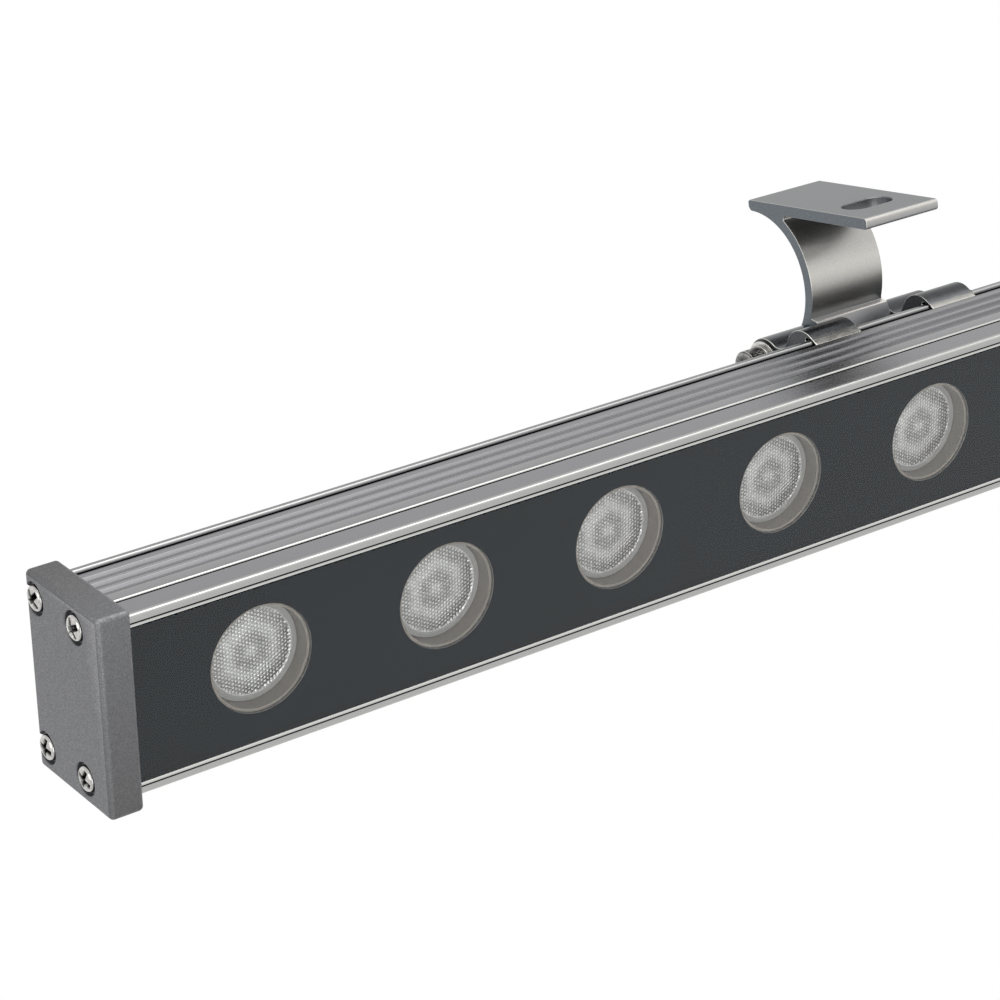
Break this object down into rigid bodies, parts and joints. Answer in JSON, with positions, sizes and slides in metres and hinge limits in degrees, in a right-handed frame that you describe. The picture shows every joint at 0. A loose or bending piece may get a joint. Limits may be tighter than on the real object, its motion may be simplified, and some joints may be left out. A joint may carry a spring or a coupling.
{
  "type": "linear floodlight",
  "caption": "Slim linear outdoor floodlight: extruded aluminium body with flush printed glass and round optics, die-cast end caps, cable gland, and swivel brackets that slide on a rear rail.",
  "frame": {"origin": "midway between the slots of the two wall plates, on the level top faces of the plates", "axes": "+X along the lamp towards the cable gland, +Z out of the wall plates' tops, -Y the side that the light is thrown to"},
  "size_m": [1.0179, 0.0553, 0.0643],
  "materials": {
    "housing": "satin anodised extrusion",
    "front_glass": "clear toughened",
    "glass_mask": "ceramic print behind the glass",
    "silicone": "matt",
    "led_board": "white solder resist",
    "thermal_pad": "matt",
    "led_chips": "phosphor under a clear dome",
    "driver_modules": "matt",
    "board_link": "satin",
    "supply_terminal": "satin",
    "lens_holders": "matt",
    "lenses": "moulded acrylic",
    "end_caps": "metallic grey powder coat",
    "stainless_fasteners": "bright stainless",
    "gland_metal": "nickel plated",
    "bracket_arms": "satin anodised extrusion",
    "bracket_clips": "satin anodised extrusion"
  },
  "bodies": {
    "left_arm": {"left_bracket_arm": "bracket_arms"},
    "left_clamp": {"left_head_clip": "bracket_clips", "left_nut_clip": "bracket_clips", "left_clip_screws": "stainless_fasteners", "left_hinge_bolt": "stainless_fasteners", "left_spring_washer": "stainless_fasteners", "left_flat_washer": "stainless_fasteners", "left_hinge_nut": "stainless_fasteners"},
    "lamp": {"housing": "housing", "front_glass": "front_glass", "glass_mask": "glass_mask", "glass_seal": "silicone", "left_led_board": "led_board", "right_led_board": "led_board", "left_thermal_pad": "thermal_pad", "right_thermal_pad": "thermal_pad", "board_screws": "stainless_fasteners", "led_chips": "led_chips", "driver_modules": "driver_modules", "board_link": "board_link", "supply_terminal": "supply_terminal", "lens_holders": "lens_holders", "lenses": "lenses", "left_end_cap": "end_caps", "right_end_cap": "end_caps", "left_end_gasket": "silicone", "right_end_gasket": "silicone", "left_cap_screws": "stainless_fasteners", "right_cap_screws": "stainless_fasteners", "gland_body": "gland_metal", "gland_washer": "silicone", "gland_seal": "silicone", "gland_nut": "gland_metal", "gland_lock_nut": "gland_metal"},
    "right_clamp": {"right_head_clip": "bracket_clips", "right_nut_clip": "bracket_clips", "right_clip_screws": "stainless_fasteners", "right_hinge_bolt": "stainless_fasteners", "right_spring_washer": "stainless_fasteners", "right_flat_washer": "stainless_fasteners", "right_hinge_nut": "stainless_fasteners"},
    "right_arm": {"right_bracket_arm": "bracket_arms"}
  },
  "joints": [
    {"name": "lamp_tilt", "type": "hinge", "parent": "left_arm", "child": "left_clamp", "pos_m": [-0.297, 0.0102, -0.0303], "axis": [1, 0, 0], "range_deg": [-40, 110]},
    {"name": "left_bracket_slide", "type": "slide", "parent": "left_clamp", "child": "lamp", "axis": [1, 0, 0], "range_m": [-0.15, 0.15]},
    {"name": "right_bracket_slide", "type": "slide", "parent": "lamp", "child": "right_clamp", "axis": [1, 0, 0], "range_m": [-0.15, 0.15]},
    {"name": "right_bracket_swivel", "type": "hinge", "parent": "right_clamp", "child": "right_arm", "pos_m": [0.297, 0.0102, -0.0303], "axis": [1, 0, 0], "range_deg": [-110, 40]}
  ],
  "couplings": [
    {"joint": "right_bracket_swivel", "follows": "lamp_tilt", "ratio": -1}
  ]
}
